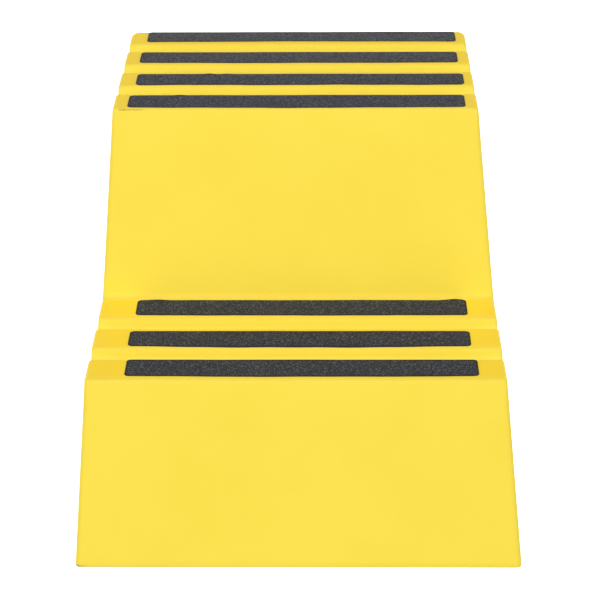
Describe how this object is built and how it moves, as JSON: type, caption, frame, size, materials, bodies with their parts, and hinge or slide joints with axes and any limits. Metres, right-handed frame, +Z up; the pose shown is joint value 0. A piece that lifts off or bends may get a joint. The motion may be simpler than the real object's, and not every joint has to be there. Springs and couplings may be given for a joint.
{
  "type": "two-step stand",
  "caption": "Moulded plastic step stand with drafted nesting walls, open underneath, ridged treads and anti-slip grit strips.",
  "frame": {"origin": "on the ground, at the centre of the footprint", "axes": "+X to the right for a person who faces the front riser, +Y from the front to the rear, +Z up"},
  "size_m": [0.5576, 0.628, 0.5088],
  "materials": {
    "moulded_plastic": "satin rotomoulded polyethylene, fine orange-peel texture",
    "grit_tape": "coarse mineral grit on adhesive film",
    "pad_rubber": "matt moulded rubber"
  },
  "bodies": {
    "root": {"step_body": "moulded_plastic", "lower_strip_front": "grit_tape", "lower_strip_middle": "grit_tape", "lower_strip_rear": "grit_tape", "upper_strip_front": "grit_tape", "upper_strip_second": "grit_tape", "upper_strip_third": "grit_tape", "upper_strip_rear": "grit_tape", "foot_pad_front_left": "pad_rubber", "foot_pad_front_right": "pad_rubber", "foot_pad_rear_left": "pad_rubber", "foot_pad_rear_right": "pad_rubber"}
  },
  "joints": []
}
